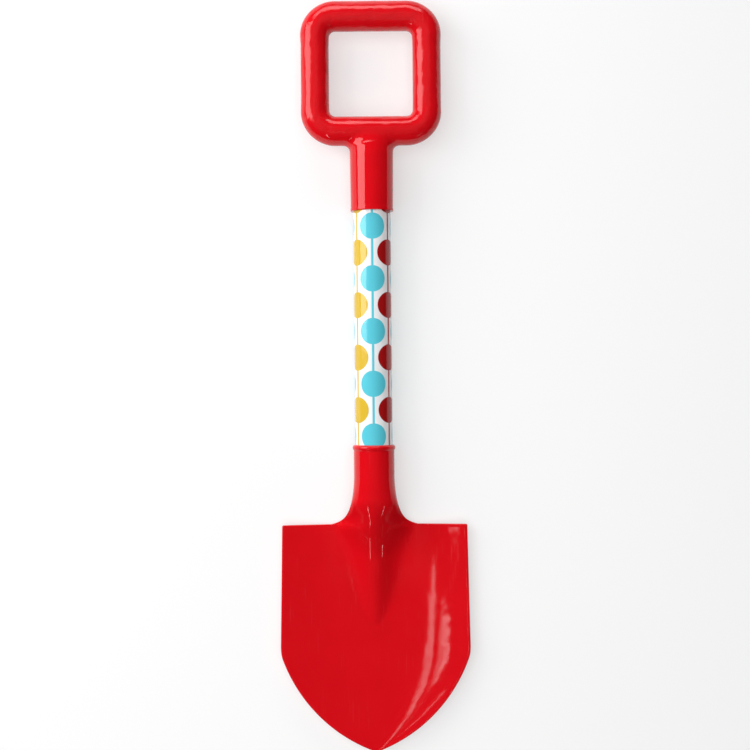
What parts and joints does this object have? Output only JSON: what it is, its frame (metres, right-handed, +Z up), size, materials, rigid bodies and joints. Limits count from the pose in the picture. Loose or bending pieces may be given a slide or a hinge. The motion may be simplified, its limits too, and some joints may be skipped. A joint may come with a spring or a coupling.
{
  "type": "sand shovel",
  "caption": "Child's sand shovel: hollow square-loop grip and dished, pointed blade moulded in plastic, pressed on a wooden dowel with a printed film around it.",
  "frame": {"origin": "middle of the shovel's length and width, on the plane that it lies on", "axes": "+X across the blade to the right, +Y along the shaft towards the grip, +Z up out of the dish"},
  "size_m": [0.13, 0.5128, 0.0296],
  "materials": {
    "moulded_plastic": "glossy red moulding with a faint flow texture",
    "print_film": "glossy white film printed with dots on lines",
    "dowel_wood": "turned and sanded, not varnished",
    "screw_steel": "bright zinc plating"
  },
  "bodies": {
    "root": {"grip_handle": "moulded_plastic", "shaft_dowel": "dowel_wood", "printed_sleeve": "print_film", "blade": "moulded_plastic", "handle_screw": "screw_steel", "blade_screw": "screw_steel"}
  },
  "joints": []
}
